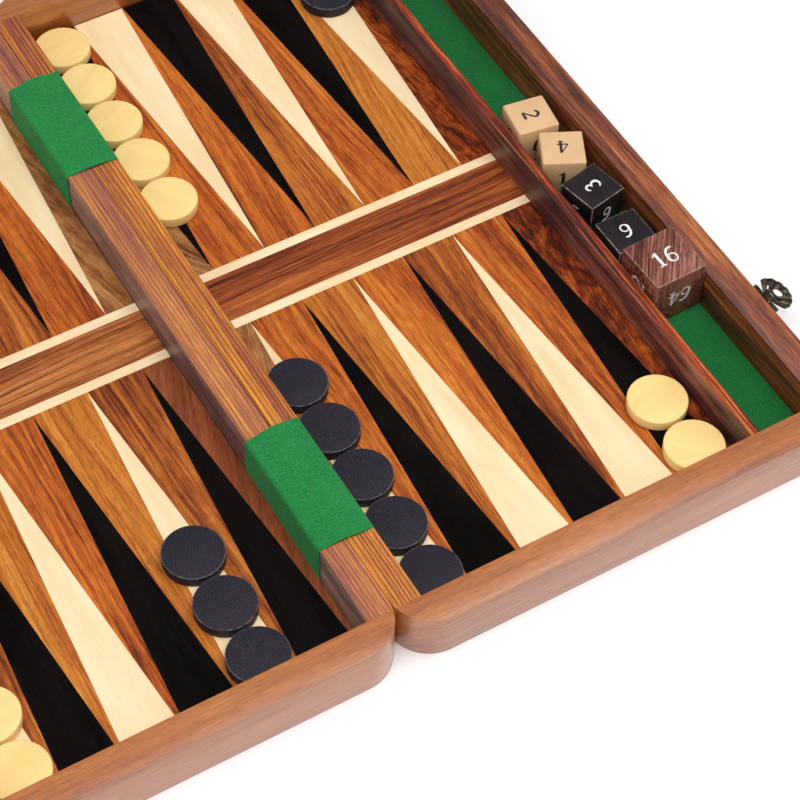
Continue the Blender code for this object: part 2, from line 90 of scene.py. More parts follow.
# ---- Materials ----
class Graph:
    """One material and short ways to add nodes to it."""

    def __init__(self, name):
        self.mat = bpy.data.materials.new(name)
        self.mat.use_nodes = True
        self.tree = self.mat.node_tree
        self.shader = self.tree.nodes["Principled BSDF"]

    def put(self, node, socket, value):
        if isinstance(value, bpy.types.NodeSocket):
            self.tree.links.new(value, node.inputs[socket])
        elif value is not None:
            node.inputs[socket].default_value = value

    def set(self, **sockets):
        for name, value in sockets.items():
            self.put(self.shader, name.replace("_", " "), value)

    def node(self, kind, inputs=(), **settings):
        node = self.tree.nodes.new("ShaderNode" + kind)
        for name, value in settings.items():
            setattr(node, name, value)
        for socket, value in dict(inputs).items():
            self.put(node, socket, value)
        return node

    def attribute(self, name, kind="Vector"):
        return self.node("Attribute", attribute_name=name).outputs[kind]

    def math(self, operation, a, b=None, c=None, clamp=False):
        node = self.node("Math", {0: a, 1: b, 2: c}, operation=operation, use_clamp=clamp)
        return node.outputs[0]

    def times(self, a, b):
        return self.math("MULTIPLY", a, b)

    def sway(self, noise, amount, onto, clamp=False):
        """Add a noise to a value, after centring it on zero and scaling it."""
        return self.math("MULTIPLY_ADD", self.math("SUBTRACT", noise, 0.5), amount, onto, clamp=clamp)

    def vector(self, operation, a, b):
        return self.node("VectorMath", {0: a, 1: b}, operation=operation).outputs[0]

    def noise(self, vector, scale=(1, 1, 1), detail=2.0, roughness=0.5, distortion=0.0):
        """Noise whose frequency is given for each direction, in cycles a millimetre."""
        stretched = self.vector("MULTIPLY", vector, scale)
        node = self.node("TexNoise", {"Vector": stretched, "Scale": 1.0, "Detail": detail,
                                                "Roughness": roughness, "Distortion": distortion})
        return node.outputs[0]

    def span(self, value, low, high, to_low=0.0, to_high=1.0, smooth=False):
        node = self.node("MapRange", {0: value, 1: low, 2: high, 3: to_low, 4: to_high})
        node.interpolation_type = "SMOOTHSTEP" if smooth else "LINEAR"
        return node.outputs[0]

    def ramp(self, factor, stops):
        """Colour by factor. Each stop is (place, red, green, blue)."""
        node = self.node("ValToRGB", {0: factor})
        ends = node.color_ramp.elements
        while len(ends) < len(stops):
            ends.new(0.5)
        for end, (place, *colour) in zip(ends, stops):
            end.position = place
            end.color = (*colour, 1.0)
        return node.outputs[0]

    def mix(self, factor, a, b, blend="MIX"):
        node = self.node("Mix", data_type="RGBA", blend_type=blend)
        for socket, value in ((0, factor), (6, a), (7, b)):
            colour = isinstance(value, tuple)
            self.put(node, socket, (*value, 1.0) if colour else value)
        return node.outputs[2]

    def bump(self, height, strength, distance_mm, normal=None):
        node = self.node("Bump", {"Height": height, "Strength": strength,
                                            "Distance": distance_mm * MM, "Normal": normal})
        return node.outputs[0]


def worn(g, colour, highlight_colour, amount):
    """Painted highlight: lighten a colour in patches on the eased edges, where the edge attribute is high.
    """
    wear = g.attribute("wear", "Fac")
    patchy = g.span(g.noise(g.attribute("grain"), (0.5, 0.5, 0.5), detail=3.0), 0.35, 0.6, 0.25, 1.0)
    return g.mix(g.times(g.times(wear, patchy), amount), colour, highlight_colour)


def wood(name, stops, line_gap=3.0, line_dark=0.5, wander=5.0, tilt=0.0, broad=0.10, streak=0.45,
         contrast=1.0, flecks=0.50, pores=0.5, roughness=0.40, coat=0.0, mottle=0.0, gloss=0.22,
         wear=None, line_colour=(0.05, 0.014, 0.006), line_reach=0.20, even=0.0, coat_ior=1.5):
    """Open-grained wood, with growth lines line_gap millimetres apart.

    The "grain" attribute is in millimetres: X along the grain, Y and Z across it.
    """
    g = Graph(name)
    grain = g.attribute("grain")
    parts = g.node("SeparateXYZ", {0: grain})
    across = g.times(parts.outputs[1], cos(tilt))
    across = g.math("ADD", across, g.times(parts.outputs[2], sin(tilt)))
    across = g.sway(g.noise(grain, (0.012, 0.05, 0.05)), 2 * wander, across)
    bent = g.node("CombineXYZ", {0: parts.outputs[0], 1: across, 2: parts.outputs[2]}).outputs[0]

    wide = g.noise(bent, (0.006, broad, broad * 0.3), detail=1.0)
    mid = g.noise(bent, (0.016, streak, streak * 0.4))
    fine = g.noise(bent, (0.030, 1.25, 0.8), roughness=0.6)
    tone = g.sway(wide, 1.10 * contrast, 0.5)
    tone = g.sway(mid, 1.05 * contrast, tone)
    tone = g.sway(fine, 0.95 * contrast, tone, clamp=True)
    if mottle:
        cloud = g.noise(grain, (0.10, 0.16, 0.16), detail=4.0, roughness=0.62, distortion=0.9)
        tone = g.sway(cloud, mottle, tone, clamp=True)
    fleck = g.noise(grain, (0.13, 1.6, 1.6), detail=3.0, roughness=0.66, distortion=0.15)
    tone = g.sway(fleck, flecks, tone, clamp=True)
    colour = g.ramp(tone, stops)

    spacing = g.noise(bent, (0.004, 0.12, 0.05))
    rings = g.math("MULTIPLY_ADD", spacing, 2.2, g.math("DIVIDE", across, line_gap))
    rings = g.math("PINGPONG", rings, 0.5)
    line = g.span(rings, 0.0, line_reach, 1.0, 0.0, smooth=True)
    fade = g.span(g.noise(bent, (0.02, 0.3, 0.1), detail=1.0), 0.35, 0.65, even, 1.0)
    line = g.times(line, g.times(fade, line_dark))
    colour = g.mix(line, colour, line_colour)

    shade = g.span(fleck, 0.3, 0.7, 0.84, 1.14)
    shade = g.node("CombineXYZ", {0: shade, 1: shade, 2: shade}).outputs[0]
    colour = g.mix(1.0, colour, shade, "MULTIPLY")
    pore = g.span(g.noise(grain, (0.22, 3.2, 3.2), detail=1.0), 0.62, 0.70)
    colour = g.mix(g.times(pore, pores), colour, line_colour)
    if wear:
        colour = worn(g, colour, wear, 0.7)

    height = g.math("SUBTRACT", g.times(fleck, 0.35), g.times(pore, 0.65))
    g.set(Base_Color=colour, Specular_IOR_Level=gloss,
          Coat_Weight=coat, Coat_Roughness=0.22, Coat_IOR=coat_ior,
          Roughness=g.span(fleck, 0.3, 0.7, roughness - 0.05, roughness + 0.10),
          Normal=g.bump(height, 0.35, 0.08))
    return g.mat


def plain_wood(name, dark, light, pores=0.15, roughness=0.42, lines=1.0, gloss=0.25, wear=None):
    """Fine-grained wood with little figure, such as maple, boxwood or stained ebony."""
    g = Graph(name)
    grain = g.attribute("grain")
    slow = g.noise(grain, (0.02, 0.10, 0.10))
    fibre = g.noise(grain, (0.10, 1.8, 1.8), detail=3.0, roughness=0.6)
    tone = g.sway(fibre, 0.9 * lines, slow, clamp=True)
    colour = g.mix(g.span(tone, 0.3, 0.72), dark, light)
    pore = g.span(g.noise(grain, (0.3, 5.0, 5.0), detail=1.0), 0.63, 0.70)
    colour = g.mix(g.times(pore, pores), colour, tuple(0.6 * c for c in dark))
    if wear:
        colour = worn(g, colour, wear, 0.8)
    g.set(Base_Color=colour, Specular_IOR_Level=gloss,
          Roughness=g.span(fibre, 0.3, 0.7, roughness - 0.05, roughness + 0.08),
          Normal=g.bump(fibre, 0.25, 0.05))
    return g.mat


def felt(name, dark, light):
    """Short-napped baize: a matted tangle of fibres with a soft sheen."""
    g = Graph(name)
    grain = g.attribute("grain")
    tangle = g.noise(grain, (1.9, 1.9, 1.9), detail=3.0, roughness=0.7, distortion=1.0)
    nap = g.noise(grain, (1.2, 1.2, 1.2), detail=3.0, roughness=0.75)
    patches = g.noise(grain, (0.06, 0.06, 0.06))
    tone = g.sway(patches, 0.25, g.sway(nap, 0.95, tangle), clamp=True)
    colour = g.mix(g.span(tone, 0.2, 0.8), dark, light)
    lint = g.span(g.noise(grain, (1.3, 1.3, 1.3), detail=1.0), 0.76, 0.80)
    colour = g.mix(g.times(lint, 0.35), colour, (0.35, 0.55, 0.38))
    g.set(Base_Color=colour, Roughness=0.95, Sheen_Weight=0.25, Sheen_Roughness=0.5,
          Sheen_Tint=(0.35, 0.75, 0.42, 1.0), Specular_IOR_Level=0.15,
          Normal=g.bump(tone, 0.9, 0.35))
    return g.mat


SAW_PITCH = 1.05           # millimetres from one saw line to the next


def sawn_dark(name):
    """Black-stained checker: fine wavering saw lines on the faces, a painted highlight on the eased rim."""
    g = Graph(name)
    grain = g.attribute("grain")
    parts = g.node("SeparateXYZ", {0: grain})
    wobble = g.noise(grain, (0.09, 0.11, 0.05))
    across = g.math("MULTIPLY_ADD", wobble, 3.6, parts.outputs[1])
    saw = g.math("SINE", g.times(across, 2 * pi / SAW_PITCH))
    strength = g.span(g.noise(grain, (0.07, 0.12, 0.1)), 0.34, 0.60, 0.15, 1.0)
    saw = g.times(saw, strength)
    grey = g.noise(grain, (1.6, 2.4, 2.4), detail=3.0, roughness=0.7)
    tone = g.math("MULTIPLY_ADD", saw, 0.11, g.math("MULTIPLY_ADD", grey, 0.7, 0.15), clamp=True)
    colour = g.ramp(tone, [(0.25, 0.005, 0.0045, 0.007), (0.50, 0.016, 0.014, 0.021),
                           (0.75, 0.048, 0.044, 0.057)])
    colour = worn(g, colour, (0.26, 0.25, 0.27), 0.55)
    g.set(Base_Color=colour, Roughness=g.span(grey, 0.3, 0.7, 0.52, 0.62), Specular_IOR_Level=0.22,
          Normal=g.bump(g.math("MULTIPLY_ADD", saw, 0.6, grey), 0.6, 0.05))
    return g.mat


def antique_brass(name, dark, light, roughness):
    """Cast brass with a dark patina, rubbed lighter in places."""
    g = Graph(name)
    grain = g.attribute("grain")
    patina = g.noise(grain, (0.5, 0.5, 0.5), detail=4.0, roughness=0.65)
    specks = g.noise(grain, (3.0, 3.0, 3.0), detail=3.0, roughness=0.7)
    colour = g.mix(g.span(patina, 0.42, 0.68), dark, light)
    g.set(Base_Color=colour, Metallic=1.0,
          Roughness=g.span(specks, 0.3, 0.7, roughness - 0.1, roughness + 0.15),
          Normal=g.bump(specks, 0.5, 0.12))
    return g.mat


def paint(name, colour):
    """Painted numerals, their paint a little rubbed."""
    g = Graph(name)
    grain = g.attribute("grain")
    wear = g.noise(grain, (1.4, 1.4, 1.4), detail=4.0, roughness=0.7)
    shade = g.mix(g.span(wear, 0.35, 0.75), colour, tuple(0.72 * c for c in colour))
    g.set(Base_Color=shade, Roughness=0.55, Normal=g.bump(wear, 0.3, 0.03))
    return g.mat


# ---- Wood colours, from the darkest tone to the lightest ----
GOLDEN = [(0.12, 0.192, 0.036, 0.007), (0.36, 0.403, 0.104, 0.014), (0.6, 0.538, 0.167, 0.022),
          (0.9, 0.653, 0.248, 0.04)]
ORANGE = [(0.12, 0.144, 0.023, 0.006), (0.36, 0.365, 0.07, 0.01), (0.58, 0.509, 0.124, 0.016),
          (0.9, 0.653, 0.207, 0.028)]
BROWN = [(0.12, 0.123, 0.022, 0.006), (0.36, 0.294, 0.064, 0.011), (0.6, 0.456, 0.125, 0.018),
         (0.9, 0.589, 0.198, 0.032)]
FAWN = [(0.12, 0.11, 0.03, 0.011), (0.4, 0.29, 0.105, 0.032), (0.9, 0.56, 0.27, 0.09)]
RUSSET = [(0.12, 0.13, 0.028, 0.012), (0.5, 0.25, 0.062, 0.02), (0.9, 0.4, 0.12, 0.034)]
BURL = [(0.18, 0.026, 0.004, 0.002), (0.44, 0.115, 0.016, 0.003), (0.66, 0.26, 0.04, 0.006),
        (0.94, 0.46, 0.1, 0.013)]
BAND_RIGHT = [(0.1, 0.08, 0.016, 0.007), (0.45, 0.26, 0.052, 0.012), (0.9, 0.54, 0.15, 0.03)]
BAND_LEFT = [(0.1, 0.15, 0.036, 0.012), (0.45, 0.37, 0.105, 0.026), (0.9, 0.6, 0.22, 0.06)]
BAR_RIGHT = [(0.14, 0.26, 0.07, 0.04), (0.36, 0.42, 0.125, 0.045), (0.6, 0.58, 0.2, 0.036),
             (0.88, 0.74, 0.3, 0.044)]
BAR_LEFT = [(0.14, 0.2, 0.066, 0.052), (0.36, 0.37, 0.125, 0.066), (0.6, 0.53, 0.19, 0.064),
            (0.88, 0.7, 0.28, 0.07)]
# Purple-grey palette for the bar's inner walls: painted sheen.
WALL_SHEEN_PURPLE = [(0.12, 0.11, 0.06, 0.068), (0.45, 0.28, 0.155, 0.14), (0.9, 0.52, 0.31, 0.23)]
TAN_WOOD = [(0.1, 0.181, 0.037, 0.006), (0.45, 0.39, 0.107, 0.015), (0.9, 0.554, 0.196, 0.037)]
END_WOOD = [(0.14, 0.045, 0.01, 0.006), (0.4, 0.15, 0.032, 0.012), (0.64, 0.32, 0.078, 0.021),
            (0.92, 0.54, 0.185, 0.044)]
DIVIDER_WOOD = [(0.14, 0.05, 0.01, 0.009), (0.38, 0.15, 0.026, 0.013), (0.6, 0.33, 0.052, 0.016),
                (0.88, 0.6, 0.17, 0.04)]
# Palette for the divider's face towards the field: painted sheen.
DIVIDER_WALL_SHEEN = [(0.14, 0.036, 0.016, 0.022), (0.45, 0.13, 0.038, 0.032), (0.9, 0.4, 0.13, 0.08)]
WALNUT = [(0.12, 0.045, 0.012, 0.009), (0.5, 0.2, 0.064, 0.044), (0.9, 0.42, 0.175, 0.13)]

STRIPED = {"line_gap": 1.75, "line_dark": 0.85, "line_reach": 0.26, "wander": 0.7, "broad": 0.14,
           "streak": 0.6, "contrast": 0.9, "flecks": 0.35, "pores": 0.3, "even": 0.7}

# A wood's edge colour below is a painted highlight on its eased edges.
MAT = {
    "field_a": wood("field_golden", GOLDEN, line_gap=3.8, line_dark=0.45, wander=4.0),
    "field_b": wood("field_orange", ORANGE, line_gap=4.6, line_dark=0.45, mottle=0.4),
    "field_c": wood("field_brown", BROWN, line_gap=3.2, mottle=0.4, contrast=1.1),
    "field_d": wood("field_russet", RUSSET, line_gap=9.0, line_dark=0.15, wander=8.0, contrast=0.6),
    "field_e": wood("field_tan", FAWN, line_gap=5.0, line_dark=0.35, wander=8.0, mottle=0.9, contrast=0.8),
    "burl": wood("field_burl", BURL, line_gap=5.0, line_dark=0.3, wander=8.0, mottle=1.5, contrast=0.6,
                 flecks=1.3),
    "band_right": wood("band_wood_right", BAND_RIGHT, line_gap=2.6, wander=3.0, streak=0.7),
    "band_left": wood("band_wood_left", BAND_LEFT, line_gap=3.4, line_dark=0.7, wander=4.0, streak=0.5),
    "bar_right": wood("bar_wood_right", BAR_RIGHT, line_colour=(0.13, 0.03, 0.016), **STRIPED),
    "bar_left": wood("bar_wood_left", BAR_LEFT, line_colour=(0.15, 0.05, 0.05), **STRIPED),
    "bar_wall": wood("bar_wall_wood", WALL_SHEEN_PURPLE, line_gap=2.6, line_dark=0.4, wander=3.0, gloss=0.8, pores=0.3,
                     flecks=0.4),
    "rail": wood("rail_wood", TAN_WOOD, line_gap=7.0, line_dark=0.25, wander=4.0, tilt=0.9, contrast=0.6,
                 line_colour=(0.14, 0.036, 0.012), pores=0.4, gloss=0.35, coat=1.0, coat_ior=1.75,
                 roughness=0.36, flecks=0.35, wear=(0.58, 0.26, 0.11)),
    "end": wood("end_rail_wood", END_WOOD, line_gap=3.6, wander=3.0, tilt=0.8, gloss=0.7,
                wear=(0.5, 0.22, 0.09)),
    "divider": wood("divider_wood", DIVIDER_WOOD, line_gap=2.2, line_dark=0.45, wander=2.5, tilt=0.5,
                    broad=0.25, streak=0.8, contrast=1.3),
    "divider_wall": wood("divider_wall_wood", DIVIDER_WALL_SHEEN, line_gap=2.2, wander=2.0, contrast=1.5,
                         gloss=0.6),
    "base": wood("base_wood", TAN_WOOD, line_gap=6.0, line_dark=0.3, wander=8.0, roughness=0.6),
    "ebony": plain_wood("ebony_inlay", (0.003, 0.0022, 0.0022), (0.008, 0.0058, 0.0056), pores=0.5,
                        roughness=0.55, gloss=0.02),
    "maple": plain_wood("maple_inlay", (0.86, 0.63, 0.36), (0.94, 0.76, 0.48), pores=0.12, lines=0.7),
    "string": plain_wood("string_inlay", (0.84, 0.6, 0.34), (0.94, 0.76, 0.48), pores=0.08),
    "felt": felt("bar_felt", (0.005, 0.12, 0.026), (0.028, 0.33, 0.082)),
    "tray_felt": felt("tray_felt", (0.003, 0.07, 0.016), (0.015, 0.215, 0.05)),
    "dark_checker": sawn_dark("dark_checker"),
    "pale_checker": plain_wood("pale_checker", (0.9, 0.62, 0.24), (0.98, 0.73, 0.3), pores=0.05,
                               roughness=0.4, lines=0.6),
    "dark_die": plain_wood("dark_die", (0.007, 0.005, 0.006), (0.02, 0.015, 0.017), pores=0.3,
                           roughness=0.4, wear=(0.42, 0.33, 0.32)),
    "pale_die": plain_wood("pale_die", (0.68, 0.42, 0.225), (0.75, 0.49, 0.265), pores=0.05, roughness=0.45,
                           lines=0.4),
    "cube": wood("cube_wood", WALNUT, line_gap=1.9, line_dark=0.55, wander=2.5, streak=0.9, flecks=1.3,
                 pores=0.7, roughness=0.48, wear=(0.52, 0.3, 0.26)),
    "white_paint": paint("white_paint", (0.88, 0.87, 0.84)),
    "dark_paint": paint("dark_paint", (0.03, 0.014, 0.022)),
    "hasp_brass": antique_brass("hasp_brass", (0.04, 0.032, 0.024), (0.23, 0.18, 0.12), 0.36),
    "hinge_brass": antique_brass("hinge_brass", (0.45, 0.29, 0.09), (0.72, 0.5, 0.2), 0.35),
}


# ---- Making pieces ----
ON_LINE = 0.0002           # how near a corner has to be to count as on a line
SEAM_NEAR = 0.0006         # edges this close to the fold line are hardly eased
TIGHT_EASE = 0.2           # share of the ease at the seam and where rails butt together
EASED_ANGLE = radians(30)   # edges sharper than this are eased
EASE_SEGMENTS = 3
GRAIN_SPREAD = (900, 400, 400)   # millimetres of figure that the pieces are cut from


def link(obj):
    bpy.context.scene.collection.objects.link(obj)
    return obj


def object_from(name, bm):
    """A linked object that takes over a bmesh."""
    mesh = bpy.data.meshes.new(name)
    bm.to_mesh(mesh)
    bm.free()
    return link(bpy.data.objects.new(name, mesh))


def settle(obj):
    """Apply the modifiers, so that the mesh is final and lies in the frame's own coordinates."""
    bpy.context.view_layer.update()
    mesh = bpy.data.meshes.new_from_object(obj.evaluated_get(bpy.context.evaluated_depsgraph_get()))
    mesh.transform(obj.matrix_world)
    obj.modifiers.clear()
    obj.data = mesh
    obj.matrix_world = Matrix.Identity(4)


def lay_grain(obj, turn=0.0, along="X", origin=(0, 0, 0)):
    """Write the "grain" attribute: millimetres along the grain, then across it, then in depth."""
    pick = random.Random(f"{obj.name} 0")
    shift = np.array([pick.uniform(0, spread) for spread in GRAIN_SPREAD])
    co = np.zeros(len(obj.data.vertices) * 3)
    obj.data.vertices.foreach_get("co", co)
    co = (co.reshape(-1, 3) - np.array(origin)) / MM
    if along == "Y":
        co = co[:, [1, 0, 2]]
    c, s = cos(turn), sin(turn)
    grain = np.stack([c * co[:, 0] + s * co[:, 1], c * co[:, 1] - s * co[:, 0], co[:, 2]], 1) + shift
    layer = obj.data.attributes.new("grain", "FLOAT_VECTOR", "POINT")
    layer.data.foreach_set("vector", grain.astype(np.float32).ravel())


def ease_weights(bm):
    """How much each sharp edge is eased: hardly at all at the seam and where rails butt together."""
    weight = bm.edges.layers.float.new("bevel_weight_edge")
    for edge in bm.edges:
        if edge.calc_face_angle(0.0) < EASED_ANGLE:
            continue
        a, b = (v.co for v in edge.verts)
        middle = abs(a.x + b.x) / 2
        butted = all(abs(abs(p.y) - INNER_Y) < ON_LINE for p in (a, b))
        tight = middle < SEAM_NEAR or (butted and not HINGE_RAIL < middle < END_RAIL_IN)
        edge[weight] = TIGHT_EASE if tight else 1.0


def mark_wear(mesh, width):
    """Set the painted-highlight attribute to 1 inside the eased edges: points whose faces are all narrower
    than the ease.
    """
    narrow = np.ones(len(mesh.vertices), dtype=np.float32)
    for face in mesh.polygons:
        corners = [mesh.vertices[i].co for i in face.vertices]
        longest = max((a - b).length for a, b in zip(corners, corners[1:] + corners[:1]))
        if face.area / longest > width:
            narrow[list(face.vertices)] = 0.0
    mesh.attributes.new("wear", "FLOAT", "POINT").data.foreach_set("value", narrow)


def piece(name, bm, mat, body, slot, replaces=(), bevel=0.0, smooth=35, cutters=(), wear=0.0, **grain):
    """A finished piece from a bmesh: bevelled, given its grain and material, and riding on a body."""
    bmesh.ops.recalc_face_normals(bm, faces=bm.faces)
    if bevel:
        ease_weights(bm)
    obj = object_from(name, bm)
    if bevel:
        ease = obj.modifiers.new("Ease", "BEVEL")
        ease.width, ease.segments, ease.limit_method = bevel, EASE_SEGMENTS, "WEIGHT"
    for cutter in cutters:
        cut = obj.modifiers.new("Cut", "BOOLEAN")
        cut.operation, cut.solver, cut.object = "DIFFERENCE", "EXACT", cutter
    if bevel or cutters:
        settle(obj)
    for cutter in cutters:
        bpy.data.objects.remove(cutter, do_unlink=True)
    # Mark the eased edges that carry the painted highlight.
    if bevel or wear:
        mark_wear(obj.data, wear or 0.9 * bevel)
    obj.data.shade_smooth()
    obj.data.set_sharp_from_angle(angle=radians(smooth))
    lay_grain(obj, **grain)
    obj.data.materials.clear()
    obj.data.materials.append(MAT[mat])
    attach(obj, body)
    if replaces:
        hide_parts(*replaces)
    return obj


def second_material(obj, mat, chosen):
    """Give the chosen faces of a piece another material."""
    obj.data.materials.append(MAT[mat])
    for face in obj.data.polygons:
        if chosen(face):
            face.material_index = 1


def box_bm(low, high):
    bm = bmesh.new()
    low, high = Vector(low), Vector(high)
    bmesh.ops.create_cube(bm, size=1.0, matrix=Matrix.Translation((low + high) / 2)
                          @ Matrix.Diagonal((*(high - low), 1.0)))
    return bm


def prism_bm(outline, low, high):
    """A closed prism over a flat outline."""
    bm = bmesh.new()
    face = bm.faces.new([bm.verts.new((x, y, low)) for x, y in outline])
    grown = bmesh.ops.extrude_face_region(bm, geom=[face])
    top = [v for v in grown["geom"] if isinstance(v, bmesh.types.BMVert)]
    bmesh.ops.translate(bm, verts=top, vec=(0, 0, high - low))
    return bm


def fill_grid(bm, grid):
    """Faces between the rows of a grid of points."""
    for near, far in zip(grid, grid[1:]):
        for i in range(len(near) - 1):
            bm.faces.new((near[i], near[i + 1], far[i + 1], far[i]))


def tube(bm, rings):
    """A solid through rings of points, closed at both ends."""
    fill_grid(bm, [ring + ring[:1] for ring in rings])
    bm.faces.new(rings[0][::-1])
    bm.faces.new(rings[-1])


def turned_bm(profile, steps, spot):
    """A turned solid: a profile of (radius, height), and the spot for a radius, angle and height."""
    bm = bmesh.new()
    tube(bm, [[bm.verts.new(spot(r, 2 * pi * i / steps, z)) for i in range(steps)] for r, z in profile])
    return bm


def rounded(x, y, radius, degrees):
    """Points on a circle about (x, y), at the given angles."""
    return [(x + radius * cos(a), y + radius * sin(a)) for a in map(radians, degrees)]


# ---- The case ----
CORNER_STEPS = 20
RAIL_EASE = 0.00035
RAIL_JOINT_GAP = 0.00003   # between the front or back rail and the rails that meet it
BAR_WALL_DEPTH = 0.001     # faces this close to the bar's inner wall get the purple palette of painted sheen
MORTISE_GAP = 0.0002       # around a hinge leaf
MORTISE_OVERRUN = 0.003
DIVIDER_ROUND = 0.0021
SWAP_Y_AND_Z = Matrix(((1, 0, 0), (0, 0, 1), (0, 1, 0)))


def half_outline():
    """The right half seen from above: a rectangle with round corners."""
    left, right, end = SEAM + CORNER_RADIUS, HALF_WIDTH - CORNER_RADIUS, HALF_LENGTH - CORNER_RADIUS
    outline = []
    for x, y, start in ((right, end, 0), (left, end, 90), (left, -end, 180), (right, -end, 270)):
        outline += rounded(x, y, CORNER_RADIUS,
                           [start + 90 * i / CORNER_STEPS for i in range(CORNER_STEPS + 1)])
    return outline


def clip(outline, axis, limit, keep):
    """The part of an outline on one side of a line: keep is +1 for above the limit, -1 for below."""
    kept = []
    for a, b in zip(outline, outline[1:] + outline[:1]):
        in_a, in_b = (keep * (p[axis] - limit) >= 0 for p in (a, b))
        if in_a:
            kept.append(a)
        if in_a != in_b:
            t = (limit - a[axis]) / (b[axis] - a[axis])
            kept.append(tuple(a[i] + t * (b[i] - a[i]) for i in (0, 1)))
    return kept


def split(outline, places):
    """Add corners on the straight inner edge of a rail, at the given distances from the fold line."""
    made = []
    for a, b in zip(outline, outline[1:] + outline[:1]):
        made.append(a)
        if all(abs(abs(p[1]) - INNER_Y) < 1e-7 for p in (a, b)):
            made += sorted(((x, a[1]) for x in places), reverse=a[0] > b[0])
    return made


def case_rails(side):
    """Front, back, end and hinge rails of one half."""
    outline, tag, body = half_outline(), SIDES[side], HALF_BODY[side]
    joint = INNER_Y - RAIL_JOINT_GAP
    bays = clip(clip(outline, 1, -joint, 1), 1, joint, -1)
    meets = (HINGE_RAIL, END_RAIL_IN)
    shapes = {
        "front_rail": (split(clip(outline, 1, -INNER_Y, -1), meets), "rail", "front_rail_wood", "X", 0.02),
        "back_rail": (split(clip(outline, 1, INNER_Y, 1), meets), "rail", "front_rail_wood", "X", -0.01),
        "end_rail": (clip(bays, 0, END_RAIL_IN, 1), "end", "end_rail_wood", "Y", 0.012),
        "hinge_rail": (clip(bays, 0, HINGE_RAIL, -1), f"bar_{tag}", "bar_wood", "Y", 0.006),
    }
    for name, (shape, mat, slot, along, turn) in shapes.items():
        rail = piece(f"{name}_{tag}_body", prism_bm([(side * x, y) for x, y in shape], 0.0, RIM), mat, body,
                     slot, replaces=[f"{name}_{tag}"], bevel=RAIL_EASE,
                     cutters=mortises(side) if name == "hinge_rail" else (),
                     along=along, turn=turn * side)
    # The inner walls of the bar, facing the field, get painted sheen in a purple-grey palette.
    second_material(rail, "bar_wall", lambda face: abs(face.normal.x) > 0.9
                    and abs(face.center.x) > HINGE_RAIL - BAR_WALL_DEPTH)


def mortises(side):
    """Cutters for the two hinge recesses, around the hinge leaves of the frame."""
    made = []
    for place in ("front", "back"):
        low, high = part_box(f"hinge_{place}_leaf_{SIDES[side]}")
        reach = max(abs(low.x), abs(high.x)) + MORTISE_GAP
        x = sorted((-side * MORTISE_OVERRUN, side * reach))
        made.append(object_from("mortise", box_bm(
            (x[0], low.y - MORTISE_GAP, low.z - MORTISE_GAP),
            (x[1], high.y + MORTISE_GAP, RIM + MORTISE_OVERRUN))))
    return made


def tray_divider(side):
    """The wall between field and tray, its top fully rounded over."""
    low, high, tag = DIVIDER_LOW, DIVIDER_HIGH, SIDES[side]
    shoulder = high.z - DIVIDER_ROUND
    profile = [(low.x, low.z), (high.x, low.z)]
    profile += rounded(high.x - DIVIDER_ROUND, shoulder, DIVIDER_ROUND, range(0, 91, 9))
    profile += rounded(low.x + DIVIDER_ROUND, shoulder, DIVIDER_ROUND, range(90, 181, 9))
    bm = prism_bm([(side * x, z) for x, z in profile], low.y, high.y)
    bmesh.ops.rotate(bm, verts=bm.verts, matrix=SWAP_Y_AND_Z)
    wall = piece(f"tray_divider_{tag}_body", bm, "divider", HALF_BODY[side], "divider_wood",
                 replaces=[f"tray_divider_{tag}"], along="Y", turn=0.01)
    # The divider's face towards the field gets a purple palette of painted sheen.
    second_material(wall, "divider_wall",
                    lambda face: face.normal.x * side < -0.75 and face.center.z > FLOOR)


# ---- Marquetry ----
PANEL_END = INNER_Y - 0.0003   # the panel stops short of the front and back rails
FIELD_LOOKS = {(1, -1): "ebabcb", (1, 1): "ebbcba", (-1, -1): "dcabac", (-1, 1): "ebcabb"}


def point_x(number):
    return FIELD_START + (number - 0.5) * PITCH


def point_edge(number, edge):
    """X of a point's left (-1) or right (+1) edge at the rail."""
    return point_x(number) + edge * 0.5 * PITCH * (PANEL_END - STRING_OUTER) / POINT_LENGTH


def inlay(name, side, end, outline, mat, **grain):
    shape = [(side * x, end * y) for x, y in outline]
    return piece(f"{name}_{SIDES[side]}", prism_bm(shape, FLOOR - INLAY, FLOOR), mat, HALF_BODY[side],
                 "panel_wood", **grain)


def strip(near, far):
    """Outline of a strip across the panel, between two distances from the board's middle."""
    return [(PANEL_IN, near), (PANEL_OUT, near), (PANEL_OUT, far), (PANEL_IN, far)]


